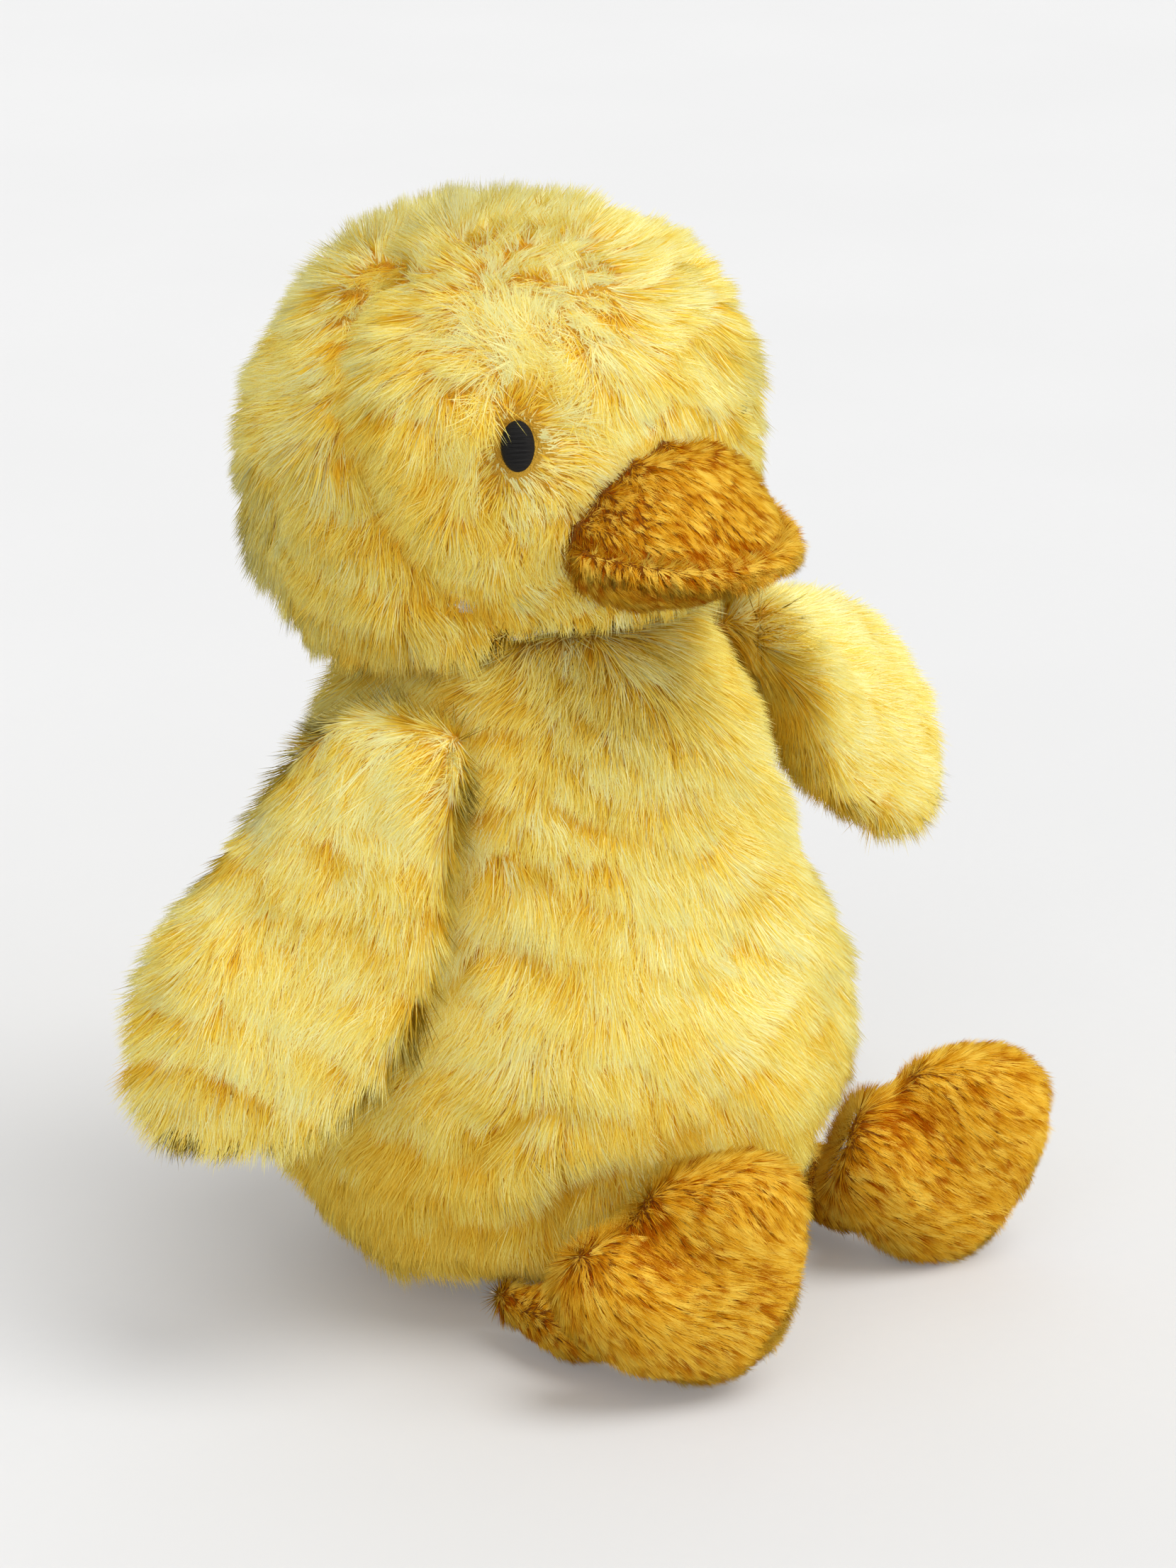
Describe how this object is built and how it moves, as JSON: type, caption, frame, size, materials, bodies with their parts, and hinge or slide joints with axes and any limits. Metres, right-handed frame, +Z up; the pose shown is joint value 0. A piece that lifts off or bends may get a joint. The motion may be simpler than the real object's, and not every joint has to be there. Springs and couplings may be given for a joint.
{
  "type": "plush chick",
  "caption": "Sitting plush chick of long yellow pile with a short-pile ochre bill and padded feet, sewn eyes, a turning and nodding head, lifting wings and swinging legs.",
  "frame": {"origin": "middle of the flat seat, on the floor", "axes": "+Z up from the seat, -Y the way the body faces, +X the chick's left"},
  "size_m": [0.182, 0.1244, 0.1823],
  "materials": {
    "long_pile": "long soft pile",
    "short_pile": "short plush pile",
    "eye_thread": "satin stitch",
    "fibre": "loose polyester fibre",
    "pouch_cloth": "plain weave",
    "pellets": "matt pellets",
    "thread": "sewing thread"
  },
  "bodies": {
    "torso": {"belly_panel": "long_pile", "back_panel_left": "long_pile", "back_panel_right": "long_pile", "seat_panel": "long_pile", "body_stuffing": "fibre", "closing_stitch": "thread", "pellet_pouch": "pouch_cloth", "pellet_fill": "pellets"},
    "neck": {"neck_thread": "thread"},
    "head": {"face_panel": "long_pile", "head_back_panel": "long_pile", "head_stuffing": "fibre", "upper_bill": "short_pile", "lower_bill": "short_pile", "bill_stuffing": "fibre", "eye_left": "eye_thread", "eye_right": "eye_thread"},
    "wing_left": {"wing_left_outer": "long_pile", "wing_left_inner": "long_pile", "wing_left_stuffing": "fibre"},
    "wing_right": {"wing_right_outer": "long_pile", "wing_right_inner": "long_pile", "wing_right_stuffing": "fibre"},
    "leg_left": {"leg_left_tube": "short_pile", "leg_left_stuffing": "fibre"},
    "leg_right": {"leg_right_tube": "short_pile", "leg_right_stuffing": "fibre"},
    "foot_left": {"foot_left_sole": "short_pile", "foot_left_instep": "short_pile", "foot_left_stuffing": "fibre"},
    "foot_right": {"foot_right_sole": "short_pile", "foot_right_instep": "short_pile", "foot_right_stuffing": "fibre"}
  },
  "joints": [
    {"name": "neck_turn", "type": "hinge", "parent": "torso", "child": "neck", "pos_m": [0, 0.00513, 0.08384], "axis": [0, 0.061, 0.9981], "range_deg": [-35, 40], "stiffness_Nm_per_rad": 0.15},
    {"name": "neck_nod", "type": "hinge", "parent": "neck", "child": "head", "pos_m": [0, 0.00513, 0.08384], "axis": [0.9781, -0.2079, 0], "range_deg": [-10, 12], "stiffness_Nm_per_rad": 0.3},
    {"name": "wing_left_lift", "type": "hinge", "parent": "torso", "child": "wing_left", "pos_m": [0.03724, -0.00448, 0.10171], "axis": [-0.2756, -0.9595, 0.0587], "range_deg": [-15, 28], "stiffness_Nm_per_rad": 0.05},
    {"name": "wing_right_lift", "type": "hinge", "parent": "torso", "child": "wing_right", "pos_m": [-0.03872, 0.00483, 0.10114], "axis": [-0.0349, 0.9975, -0.061], "range_deg": [-7, 44], "stiffness_Nm_per_rad": 0.05},
    {"name": "leg_left_swing", "type": "hinge", "parent": "torso", "child": "leg_left", "pos_m": [0.03658, -0.01209, 0.00875], "axis": [-0.9563, 0.2924, 0], "range_deg": [-50, 6], "stiffness_Nm_per_rad": 0.04},
    {"name": "leg_right_swing", "type": "hinge", "parent": "torso", "child": "leg_right", "pos_m": [-0.03658, -0.01209, 0.00875], "axis": [-0.9986, -0.0523, 0], "range_deg": [-50, 6], "stiffness_Nm_per_rad": 0.04},
    {"name": "foot_left_flex", "type": "hinge", "parent": "leg_left", "child": "foot_left", "pos_m": [0.02796, -0.0403, 0.00875], "axis": [-0.8305, 0.5393, -0.1392], "range_deg": [-25, 3], "stiffness_Nm_per_rad": 0.02},
    {"name": "foot_right_flex", "type": "hinge", "parent": "leg_right", "child": "foot_right", "pos_m": [-0.0353, -0.03655, 0.00875], "axis": [-0.7595, 0.5318, -0.3746], "range_deg": [-25, 3], "stiffness_Nm_per_rad": 0.02}
  ]
}
